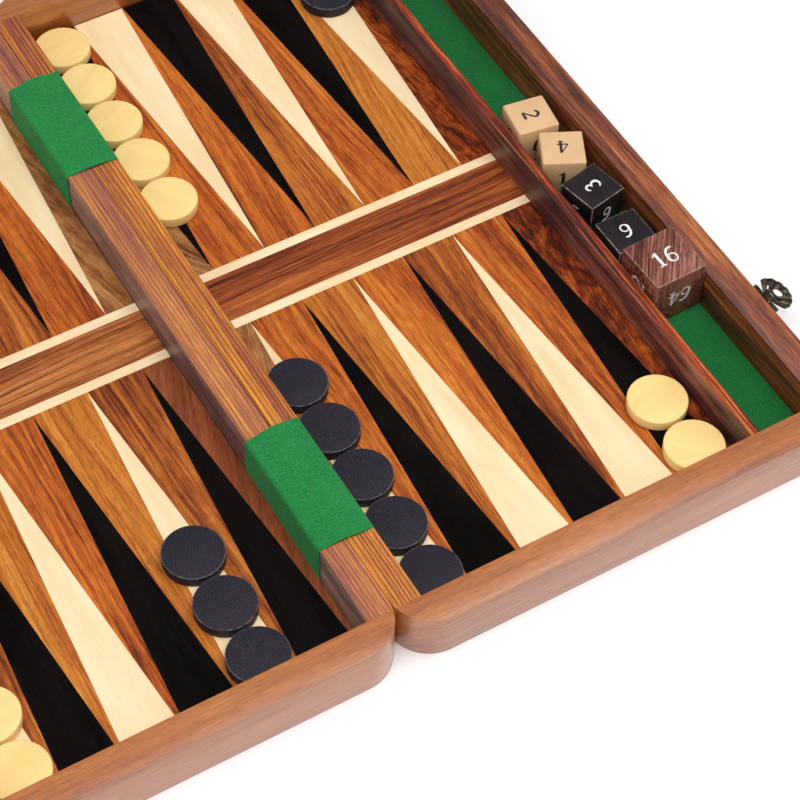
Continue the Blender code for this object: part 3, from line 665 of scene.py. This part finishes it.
def playing_panel(side):
    """The core board of one half, and every inlay let into it."""
    tag = SIDES[side]
    pick = random.Random(70 + side)
    x = sorted((side * PANEL_IN, side * PANEL_OUT))
    core = box_bm((x[0], -PANEL_END, PANEL_BED), (x[1], PANEL_END, FLOOR - INLAY))
    piece(f"panel_core_{tag}", core, "base", HALF_BODY[side], "panel_wood",
          replaces=[f"playing_panel_{tag}"], along="Y")
    inlay("centre_band", side, 1, strip(-BAND_HALF, BAND_HALF), f"band_{tag}", turn=0.02)
    for end, end_name in ((-1, "front"), (1, "back")):
        inlay(f"string_{end_name}", side, end, strip(BAND_HALF, STRING_OUTER), "string")
        for number in range(1, POINTS + 1):
            pale = (number + (side < 0) + (end > 0)) % 2 == 1
            shape = [(point_x(number), STRING_OUTER), (point_edge(number, 1), PANEL_END),
                     (point_edge(number, -1), PANEL_END)]
            inlay(f"point_{end_name}_{number}", side, end, shape, "maple" if pale else "ebony",
                  along="Y", turn=pick.uniform(-0.04, 0.04))
        for gap in range(POINTS + 1):
            near, near_end = (point_x(gap), point_edge(gap, 1)) if gap else (PANEL_IN, PANEL_IN)
            far, far_end = (PANEL_OUT, PANEL_OUT)
            if gap < POINTS:
                far, far_end = point_x(gap + 1), point_edge(gap + 1, -1)
            shape = [(near, STRING_OUTER), (far, STRING_OUTER), (far_end, PANEL_END), (near_end, PANEL_END)]
            turn = pick.uniform(-0.10, 0.10) if gap else pick.choice((-1, 1)) * pick.uniform(0.2, 0.5)
            mat = f"field_{FIELD_LOOKS[side, end][gap]}" if gap < POINTS else "burl"
            inlay(f"field_{end_name}_{gap}", side, end, shape, mat, along="Y", turn=turn)


# ---- Felt ----
TRAY_ROWS, TRAY_COLUMNS = 90, 8
TRAY_WAVE = 0.00012        # how unevenly the tray felt lies
TRAY_FELT, BAR_FELT = 0.00042, 0.00048   # thicknesses
FELT_GAP = 0.00012         # between the patch and the bar
FELT_ON_HINGE = 0.00008    # between the patch and the hinge's knuckles
FELT_CORNER = 0.0014       # how tightly the patch turns over the edge of the bar
FELT_INSET = 0.0003        # the patch's edge inside its solid's
PATCH_ROWS = 48
RAGGED = 0.00018           # unevenness of a cut edge
SWELL = 0.00006            # and of the patch between its edges
FELT_FOOT = 0.0002         # between the patch's foot and the panel


def cloth(name, bm, thickness, mat):
    """A sheet of felt: the surface thickened upwards, with soft edges."""
    bmesh.ops.recalc_face_normals(bm, faces=bm.faces)
    if sum(f.normal.z * f.calc_area() for f in bm.faces) < 0:
        bmesh.ops.reverse_faces(bm, faces=bm.faces)
    obj = object_from(name, bm)
    shell = obj.modifiers.new("Thickness", "SOLIDIFY")
    shell.thickness, shell.offset = thickness, 1.0
    settle(obj)
    obj.data.shade_smooth()
    obj.data.set_sharp_from_angle(angle=radians(50))
    lay_grain(obj)
    obj.data.materials.append(MAT[mat])
    return obj


def tray_felt(side):
    """The felt strip on the tray's floor, lying a little unevenly."""
    tag = SIDES[side]
    width, length = FELT_HIGH.x - FELT_LOW.x, FELT_HIGH.y - FELT_LOW.y
    bm = bmesh.new()
    fill_grid(bm, [[bm.verts.new((
        side * (FELT_LOW.x + width * i / TRAY_COLUMNS), FELT_LOW.y + length * j / TRAY_ROWS,
        FELT_LOW.z + TRAY_WAVE * (1 + sin(0.9 * i + 0.31 * j) * cos(0.17 * j))))
        for i in range(TRAY_COLUMNS + 1)] for j in range(TRAY_ROWS + 1)])
    obj = cloth(f"tray_felt_{tag}_cloth", bm, TRAY_FELT, "tray_felt")
    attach(obj, HALF_BODY[side])
    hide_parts(f"tray_felt_{tag}")


def bar_profile():
    """Half the felt's cross-section, from the middle of the bar to the foot, as (distance, height)."""
    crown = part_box("hinge_front_leaf_right")[1].z + FELT_ON_HINGE
    wall = HINGE_RAIL + FELT_GAP
    shoulder_x, shoulder_z = wall - FELT_CORNER, RIM + FELT_GAP
    points = [(0.0005 * i, crown - 0.00003 * i * i) for i in range(3)]
    start_x, start_z = points[-1]
    for i in range(1, 15):
        t = i / 15
        fall = 0.45 * t + 0.55 * (t * t * (3 - 2 * t))
        points.append((start_x + (shoulder_x - start_x) * t, start_z + (shoulder_z - start_z) * fall))
    points += rounded(shoulder_x, shoulder_z - FELT_CORNER, FELT_CORNER, range(90, -1, -15))
    drop = shoulder_z - FELT_CORNER - (FLOOR + FELT_FOOT)
    return points + [(wall + 0.00008 * sin(i), shoulder_z - FELT_CORNER - drop * i / 12)
                     for i in range(1, 13)]


def bar_felt(place):
    """A felt patch stretched over one hinge and down both walls of the bar."""
    low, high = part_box(f"hinge_felt_{place}")
    length = high.y - low.y - 2 * FELT_INSET
    half = bar_profile()
    profile = [(-x, z) for x, z in reversed(half[1:])] + half
    pick = random.Random(place)
    waves = [(pick.uniform(0.05, 0.2), pick.uniform(0, 6)) for _ in range(4)]
    bm = bmesh.new()
    grid = []
    for j in range(PATCH_ROWS + 1):
        along = j / PATCH_ROWS
        row = []
        for i, (x, z) in enumerate(profile):
            ragged = RAGGED * sum(sin(k * i + p) for k, p in waves) * (2 * along - 1)
            y = low.y + FELT_INSET + length * along + ragged * abs(2 * along - 1) ** 6
            swell = SWELL * sin(9 * along + 0.25 * i) * sin(pi * along)
            row.append(bm.verts.new((x, y, z + (swell if abs(x) < HINGE_RAIL - 0.001 else 0.0))))
        grid.append(row)
    fill_grid(bm, grid)
    obj = cloth(f"hinge_felt_{place}_cloth", bm, BAR_FELT, "felt")
    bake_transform(obj)
    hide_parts(f"hinge_felt_{place}")


# ---- Checkers, dice and doubling cube ----
CHECKER_EASE = {"dark": 0.0004, "pale": 0.0006}
CHECKER_STEPS = 72
CHECKER_HIGHLIGHT_RIM = 0.00022     # faces narrower than this are the rim with the painted highlight
CUBE_EASE = {"dark": 0.0005, "pale": 0.0009}
CUBE_GRAIN = 0.9           # how far the grain is turned on a cube's faces


def checker(node, shade):
    """A turned disc with eased rims. The dark ones show saw lines."""
    low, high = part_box(node)
    centre, ease = (low + high) / 2, CHECKER_EASE[shade]
    flat = (high.x - low.x) / 2 - ease
    profile = [(flat, low.z)] + rounded(flat, low.z + ease, ease, (-60, -30, 0))
    profile += rounded(flat, high.z - ease, ease, (0, 30, 60, 90))
    bm = turned_bm(profile, CHECKER_STEPS,
                   lambda r, a, z: (centre.x + r * cos(a), centre.y + r * sin(a), z))
    pick = random.Random(node)
    piece(f"{node}_disc", bm, f"{shade}_checker", f"{node}_body", f"{shade}_checker", replaces=[node],
          smooth=25, wear=CHECKER_HIGHLIGHT_RIM, turn=pick.uniform(0, pi), origin=centre)


def face_turn(mesh):
    """How far a cube is turned about Z: the direction of its widest side face, brought near zero."""
    face = max((f for f in mesh.polygons if abs(f.normal.z) < 0.1), key=lambda f: f.area)
    angle = atan2(face.normal.y, face.normal.x)
    return (angle + pi / 4) % (pi / 2) - pi / 4


def cube(node, mat, slot, ease):
    """A die or the doubling cube, taken at the frame's place, size and turn."""
    low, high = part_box(node)
    size, centre = high.z - low.z, (low + high) / 2
    turn = face_turn(frame["nodes"][node].data)
    bm = box_bm((-size / 2,) * 3, (size / 2,) * 3)
    bmesh.ops.rotate(bm, verts=bm.verts, matrix=Matrix.Rotation(turn, 3, "Z"))
    bmesh.ops.translate(bm, verts=bm.verts, vec=centre)
    piece(f"{node}_block", bm, mat, f"{node}_body", slot, replaces=[node], bevel=ease,
          turn=turn + CUBE_GRAIN, origin=centre)
    return centre, size, turn


def arc(x, y, wide, high, start, end, thin, thick, steps=18):
    """A pen stroke along an ellipse, swelling in the middle: points of (x, y, width)."""
    stroke = []
    for i in range(steps + 1):
        t = i / steps
        a = radians(start + (end - start) * t)
        width = thin + (thick - thin) * sin(pi * t)
        stroke.append((x + wide * cos(a), y + high * sin(a), width))
    return stroke


# Pen strokes of each numeral, as (x, y, width) in shares of its height.
STROKES = {
    "1": [[(0, 0.03, .15), (0, 0.97, .15)], [(-0.24, 0.76, .05), (0.02, 0.95, .10)],
          [(-0.22, 0.03, .06), (0.22, 0.03, .06)]],
    "2": [arc(0, 0.72, .24, .24, 165, -35, .07, .14), [(0.19, 0.58, .10), (-0.27, 0.07, .06)],
          [(-0.29, 0.06, .13), (0.29, 0.06, .13)]],
    "3": [arc(0, 0.75, .21, .21, 160, -95, .06, .13), arc(-0.01, 0.28, .27, .27, 95, -160, .06, .16)],
    "4": [[(0.10, 0.03, .13), (0.10, 0.97, .13)], [(0.10, 0.96, .05), (-0.32, 0.30, .06)],
          [(-0.34, 0.27, .07), (0.32, 0.27, .07)], [(-0.06, 0.03, .05), (0.26, 0.03, .05)]],
    "5": [[(-0.20, 0.93, .12), (0.24, 0.93, .12)], [(-0.20, 0.93, .05), (-0.22, 0.52, .06)],
          arc(-0.02, 0.30, .27, .27, 130, -155, .07, .15)],
    "6": [arc(0, 0.28, .25, .26, 0, 360, .08, .08), arc(0, 0.28, .25, .26, 120, 240, .08, .15),
          arc(0.16, 0.38, .41, .56, 190, 70, .07, .13)],
    "8": [arc(0, 0.74, .20, .21, 0, 360, .08, .08), arc(0, 0.27, .26, .27, 0, 360, .08, .08),
          arc(0, 0.27, .26, .27, 120, 240, .08, .15), arc(0, 0.27, .26, .27, -60, 60, .08, .15)],
}
GLYPH_GAP = 0.74           # between the middles of two numerals, in shares of their height
PAINT_HEIGHT = 0.00004
STROKE_LIFT = 0.000012     # each stroke lies this much above the one before
PAINT_FOOT = -0.0001       # the strokes start inside the cube
PEN = {"white_paint": 1.1, "dark_paint": 1.35}
DIE_NUMERAL, CUBE_NUMERAL = 0.0072, 0.0080
EAST, WEST, NORTH, SOUTH, TOP, BOTTOM = (1, 0, 0), (-1, 0, 0), (0, 1, 0), (0, -1, 0), (0, 0, 1), (0, 0, -1)
# Faces of a cube: the side that the numeral is on, the side that its top points to, and the numeral.


def die_faces(top, top_up, front, front_up, left):
    """The faces of a die: opposite numerals add up to seven."""
    return [(TOP, top_up, str(top)), (BOTTOM, NORTH, str(7 - top)), (SOUTH, front_up, str(front)),
            (NORTH, TOP, str(7 - front)), (WEST, TOP, str(left)), (EAST, TOP, str(7 - left))]


DIE_FACES = {
    "die_dark_1": die_faces(6, SOUTH, 3, TOP, 5),
    "die_dark_2": die_faces(3, WEST, 6, BOTTOM, 5),
    "die_pale_1": die_faces(4, SOUTH, 1, TOP, 5),
    "die_pale_2": die_faces(2, EAST, 6, TOP, 3),
}
DOUBLING_FACES = [(TOP, NORTH, "16"), (BOTTOM, NORTH, "8"), (SOUTH, BOTTOM, "64"), (NORTH, TOP, "2"),
                  (WEST, NORTH, "32"), (EAST, SOUTH, "4")]


def numeral(bm, text, face_middle, right, up, height, pen):
    """Raised painted numerals on one face of a cube."""
    normal = right.cross(up)
    for index, glyph in enumerate(text):
        offset = (index - (len(text) - 1) / 2) * GLYPH_GAP

        def spot(x, y, lift):
            return face_middle + height * ((x + offset) * right + (y - 0.5) * up) + lift * normal

        for order, stroke in enumerate(STROKES[glyph]):
            top = PAINT_HEIGHT + STROKE_LIFT * order
            rows = []
            for k, (x, y, width) in enumerate(stroke):
                before, after = stroke[max(k - 1, 0)], stroke[min(k + 1, len(stroke) - 1)]
                run = Vector((after[0] - before[0], after[1] - before[1])).normalized()
                dx, dy = -run.y * pen * width / 2, run.x * pen * width / 2
                rows.append([bm.verts.new(spot(x + s * dx, y + s * dy, lift))
                             for s, lift in ((-1, PAINT_FOOT), (-1, top), (1, top), (1, PAINT_FOOT))])
            tube(bm, rows)


def numerals(node, centre, size, turn, faces, height, mat, slot):
    """The numerals on every face of a die or cube."""
    spin = Matrix.Rotation(turn, 3, "Z")
    bm = bmesh.new()
    for outward, upward, text in faces:
        out, up = spin @ Vector(outward), spin @ Vector(upward)
        numeral(bm, text, centre + out * size / 2, up.cross(out), up, height, PEN[mat])
    piece(f"{node}_numerals", bm, mat, f"{node}_body", slot, origin=centre)


def loose_pieces():
    for node in sorted(frame["nodes"]):
        if node.startswith("checker_"):
            checker(node, node.split("_")[1])
    placed = cube("doubling_cube", "cube", "cube_wood", CUBE_EASE["dark"])
    numerals("doubling_cube", *placed, DOUBLING_FACES, CUBE_NUMERAL, "white_paint", "cube_wood")
    for node, faces in DIE_FACES.items():
        shade = node.split("_")[1]
        placed = cube(node, f"{shade}_die", f"{shade}_die", CUBE_EASE[shade])
        ink = "white_paint" if shade == "dark" else "dark_paint"
        numerals(node, *placed, faces, DIE_NUMERAL, ink, f"{shade}_die")


# ---- Hasp. The leaf is drawn from its axis: X outward, Y along the barrel ----
LEAF_RIBS = 7
LEAF_FAN = radians(68)
LEAF_REACH, LEAF_HALF_WIDTH = 0.0111, 0.0086
LEAF_ROOT = [(0.0004, 0.0029), (0.0013, 0.0030), (0.0015, 0.0045)]
LEAF_HOLE = (0.0060, -0.0003, 0.00165, 0.0024)   # its middle, and half its size each way
LEAF_STEP = 0.0004         # between points of the outline
LEAF_TRIM, SCALLOP = 0.0014, 0.00028   # how far the fan's corners and its edge between ribs draw in
LEAF_THICK, RIB_HEIGHT, RIM_HEIGHT, COLLAR_HEIGHT = 0.00055, 0.00040, 0.00020, 0.0003
LEAF_BASE = 0.0002         # the root's underside above the axis
LEAF_DROOP = 0.0125        # millimetres of droop per square millimetre beyond the root
LEAF_RINGS = 12
FAN_STEPS = 84
SLITS = ((0.0031, 0, 90), (0.0058, -46, -46), (0.0058, 46, 46))   # reach, direction and lie of each
SLIT_LENGTH, SLIT_HALF_WIDTH, SLIT_DEPTH = 0.0026, 0.00032, 0.003
KNUCKLE_END = 0.0030
KNUCKLE_STEPS = 28
KNUCKLE_TURNING = [(0.00088, 0.0), (0.00106, 0.0002), (0.00108, 0.0005), (0.00098, 0.0008),
                   (0.00104, 0.0011)]
PLATE_FACE = 0.0010        # end rail to the face of a plate
SCREW_IN, SCREW_UP = 0.0023, 0.0024   # from a plate's side and foot
SCREW_RADIUS, SCREW_DOME, SCREW_TIP = 0.0012, 0.00045, 0.00005
SCREW_STEPS, SCREW_RINGS = 24, 4
SLOT_LOW = Vector((0.0002, -0.0013, -0.00014))
SLOT_HIGH = Vector((0.0010, 0.0013, 0.00014))


def lobe(turn):
    """How full the shell is at an angle: 1 on a rib, 0 between two ribs."""
    return abs(sin(pi * LEAF_RIBS * (turn / LEAF_FAN + 1) / 2))


def leaf_outline():
    """The leaf seen from above: a narrow root, straight shoulders and a scalloped fan."""
    edge = []
    for i in range(FAN_STEPS + 1):
        turn = LEAF_FAN * (1 - 2 * i / FAN_STEPS)
        reach = LEAF_REACH - LEAF_TRIM * (turn / LEAF_FAN) ** 4 - SCALLOP * (1 - lobe(turn)) ** 2
        y = min(LEAF_HALF_WIDTH, max(-LEAF_HALF_WIDTH, reach * sin(turn)))
        edge.append((reach * cos(turn), y))
    return LEAF_ROOT + edge + [(x, -y) for x, y in reversed(LEAF_ROOT)]


def leaf_height(x, y):
    """Underside height and thickness of the cast leaf: a drooping fan with flutes and a rim to the hole."""
    turn, reach = atan2(y, x + 0.0008), hypot(x, y)
    grow = min(1.0, max(0.0, (reach - 0.0030) / 0.0040))
    hole = hypot((x - LEAF_HOLE[0]) / LEAF_HOLE[2], (y - LEAF_HOLE[1]) / LEAF_HOLE[3])
    rim = exp(-((hole - 1.22) / 0.16) ** 2)
    collar = exp(-((x - 0.0026) / 0.0005) ** 2)
    droop = -LEAF_DROOP * max(0.0, x / MM - 1.5) ** 2 * MM
    thick = LEAF_THICK + RIB_HEIGHT * grow * lobe(turn) + RIM_HEIGHT * rim + COLLAR_HEIGHT * collar
    return LEAF_BASE + droop, thick


def resample(outline, step):
    """The outline with points about a step apart."""
    fine = []
    for a, b in zip(outline, outline[1:] + outline[:1]):
        parts = max(1, round(dist(a, b) / step))
        fine += [(a[0] + (b[0] - a[0]) * i / parts, a[1] + (b[1] - a[1]) * i / parts) for i in range(parts)]
    return fine


def hasp_leaf():
    """The pierced shell leaf, its slits and its knuckle."""
    axis = HASP_AXIS
    hx, hy, wide, high = LEAF_HOLE
    bm = bmesh.new()
    sections = []
    for x, y in resample(leaf_outline(), LEAF_STEP):
        a = atan2((y - hy) / high, (x - hx) / wide)
        start = (hx + wide * cos(a), hy + high * sin(a))
        top, bottom = [], []
        for i in range(LEAF_RINGS + 1):
            px, py = (start[k] + ((x, y)[k] - start[k]) * i / LEAF_RINGS for k in (0, 1))
            base, thick = leaf_height(px, py)
            for layer, z in ((top, base + thick), (bottom, base)):
                layer.append(bm.verts.new(axis + Vector((px, py, z))))
        sections.append(top + bottom[::-1] + top[:1])
    fill_grid(bm, sections + sections[:1])
    piece("hasp_leaf_shell", bm, "hasp_brass", "hasp", "hasp_brass", replaces=["hasp_leaf"],
          cutters=[slit(*place) for place in SLITS], smooth=60, origin=axis)
    knuckle()


def slit(reach, turn, lie):
    """Cutter for a narrow pierced slot in the leaf."""
    corner = Vector((SLIT_LENGTH / 2, SLIT_HALF_WIDTH, SLIT_DEPTH))
    bm = box_bm(-corner, corner)
    bmesh.ops.rotate(bm, verts=bm.verts, matrix=Matrix.Rotation(radians(lie), 3, "Z"))
    a = radians(turn)
    bmesh.ops.translate(bm, verts=bm.verts, vec=HASP_AXIS + reach * Vector((cos(a), sin(a), 0)))
    return object_from("slit", bm)


def knuckle():
    """The leaf's hinge knuckle, with turned shoulders."""
    axis, length = HASP_AXIS, 2 * KNUCKLE_END
    profile = KNUCKLE_TURNING + [(r, length - y) for r, y in reversed(KNUCKLE_TURNING)]
    bm = turned_bm(profile, KNUCKLE_STEPS, lambda r, a, y: (
        axis.x + r * cos(a), axis.y - KNUCKLE_END + y, axis.z + r * sin(a)))
    piece("hasp_leaf_knuckle", bm, "hasp_brass", "hasp", "hasp_brass", smooth=40, origin=axis)


def screw(name, spot, outward, body):
    """A small domed screw head with a slot, standing on a plate."""
    profile = []
    for k in range(SCREW_RINGS + 1):
        a = pi / 2 * k / SCREW_RINGS
        profile.append((max(SCREW_TIP, SCREW_RADIUS * cos(a)), SCREW_DOME * sin(a)))
    bm = turned_bm(profile, SCREW_STEPS, lambda r, a, lift: (
        spot.x + outward * lift, spot.y + r * cos(a), spot.z + r * sin(a)))
    ends = [spot + Vector((outward * corner.x, corner.y, corner.z)) for corner in (SLOT_LOW, SLOT_HIGH)]
    groove = box_bm([min(pair) for pair in zip(*ends)], [max(pair) for pair in zip(*ends)])
    piece(name, bm, "hasp_brass", body, "hasp_brass", smooth=40, origin=spot,
          cutters=[object_from("groove", groove)])


def plate_screws():
    """Two screws in the hasp plate and two in the catch plate, each side of the middle."""
    for node, outward in (("hasp_plate", 1), ("catch_plate", -1)):
        low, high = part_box(node)
        face = outward * (HALF_WIDTH + PLATE_FACE)
        for number, y in enumerate((low.y + SCREW_IN, high.y - SCREW_IN)):
            screw(f"{node}_screw_{number + 1}", Vector((face, y, low.z + SCREW_UP)), outward,
                  HALF_BODY[outward])


# ---- CAD nodes that stay ----
KEPT = {"base_board": "base", "hinge_front_leaf": "hinge_brass", "hinge_back_leaf": "hinge_brass",
        "hasp_plate": "hasp_brass", "catch_plate": "hasp_brass"}


def dress_frame_nodes():
    """Materials for the nodes whose CAD shape is kept, found by how their names start."""
    for name, node in frame["nodes"].items():
        for start, mat in KEPT.items():
            if name.startswith(start):
                lay_grain(node, along="Y")
                node.data.materials.clear()
                node.data.materials.append(MAT[mat])


# ---- Camera, floor and light ----
LENS, SENSOR = 108.7, 36.0
CAMERA_PLACE = (-0.2554, -0.5834, 0.7752 + FLOOR)
CAMERA_TURN = (-32.03, 52.64, 2.07)   # azimuth, elevation and roll, in degrees
FLOOR_HALF_SIZE = 3.0
WORLD_LIGHT = 0.34
# Place, target, size and power of each soft light.
LIGHTS = {
    "overhead": ((0.10, -0.45, 1.45), (0.05, -0.05, 0), (1.5, 1.1), 20),
    "side": ((1.3, -0.2, 0.9), (0.1, 0, 0), (0.8, 0.8), 3),
    "left": ((-1.2, -0.3, 1.0), (0, 0, 0), (0.9, 0.9), 4),
}


def camera():
    lens = bpy.data.cameras.new("camera")
    lens.sensor_width, lens.lens = SENSOR, LENS
    lens.clip_start, lens.clip_end = 0.05, 20.0
    obj = link(bpy.data.objects.new("camera", lens))
    azimuth, elevation, roll = map(radians, CAMERA_TURN)
    obj.matrix_world = (Matrix.Translation(CAMERA_PLACE) @ Matrix.Rotation(azimuth, 4, "Z")
                        @ Matrix.Rotation(pi / 2 - elevation, 4, "X") @ Matrix.Rotation(roll, 4, "Z"))
    bpy.context.scene.camera = obj


def area_light(name, location, target, size, power):
    lamp = bpy.data.lights.new(name, "AREA")
    lamp.shape, lamp.size, lamp.size_y, lamp.energy = "RECTANGLE", size[0], size[1], power
    obj = link(bpy.data.objects.new(name, lamp))
    obj.location = location
    obj.rotation_euler = (Vector(target) - Vector(location)).to_track_quat("-Z", "Y").to_euler()


def studio():
    world = bpy.data.worlds.new("studio")
    world.use_nodes = True
    background = world.node_tree.nodes["Background"]
    background.inputs["Color"].default_value = (1.0, 1.0, 1.0, 1.0)
    background.inputs["Strength"].default_value = WORLD_LIGHT
    bpy.context.scene.world = world
    bpy.context.scene.view_settings.view_transform = "Standard"
    g = Graph("pale_floor")
    g.set(Base_Color=(0.95, 0.95, 0.955, 1.0), Roughness=0.8, Specular_IOR_Level=0.2)
    bm = bmesh.new()
    bmesh.ops.create_grid(bm, x_segments=1, y_segments=1, size=FLOOR_HALF_SIZE)
    floor = object_from("floor", bm)
    floor.data.materials.append(g.mat)
    for name, settings in LIGHTS.items():
        area_light(name, *settings)


dress_frame_nodes()
for half in SIDES:
    case_rails(half)
    tray_divider(half)
    playing_panel(half)
    tray_felt(half)
for hinge_place in ("front", "back"):
    bar_felt(hinge_place)
loose_pieces()
hasp_leaf()
plate_screws()
camera()
studio()
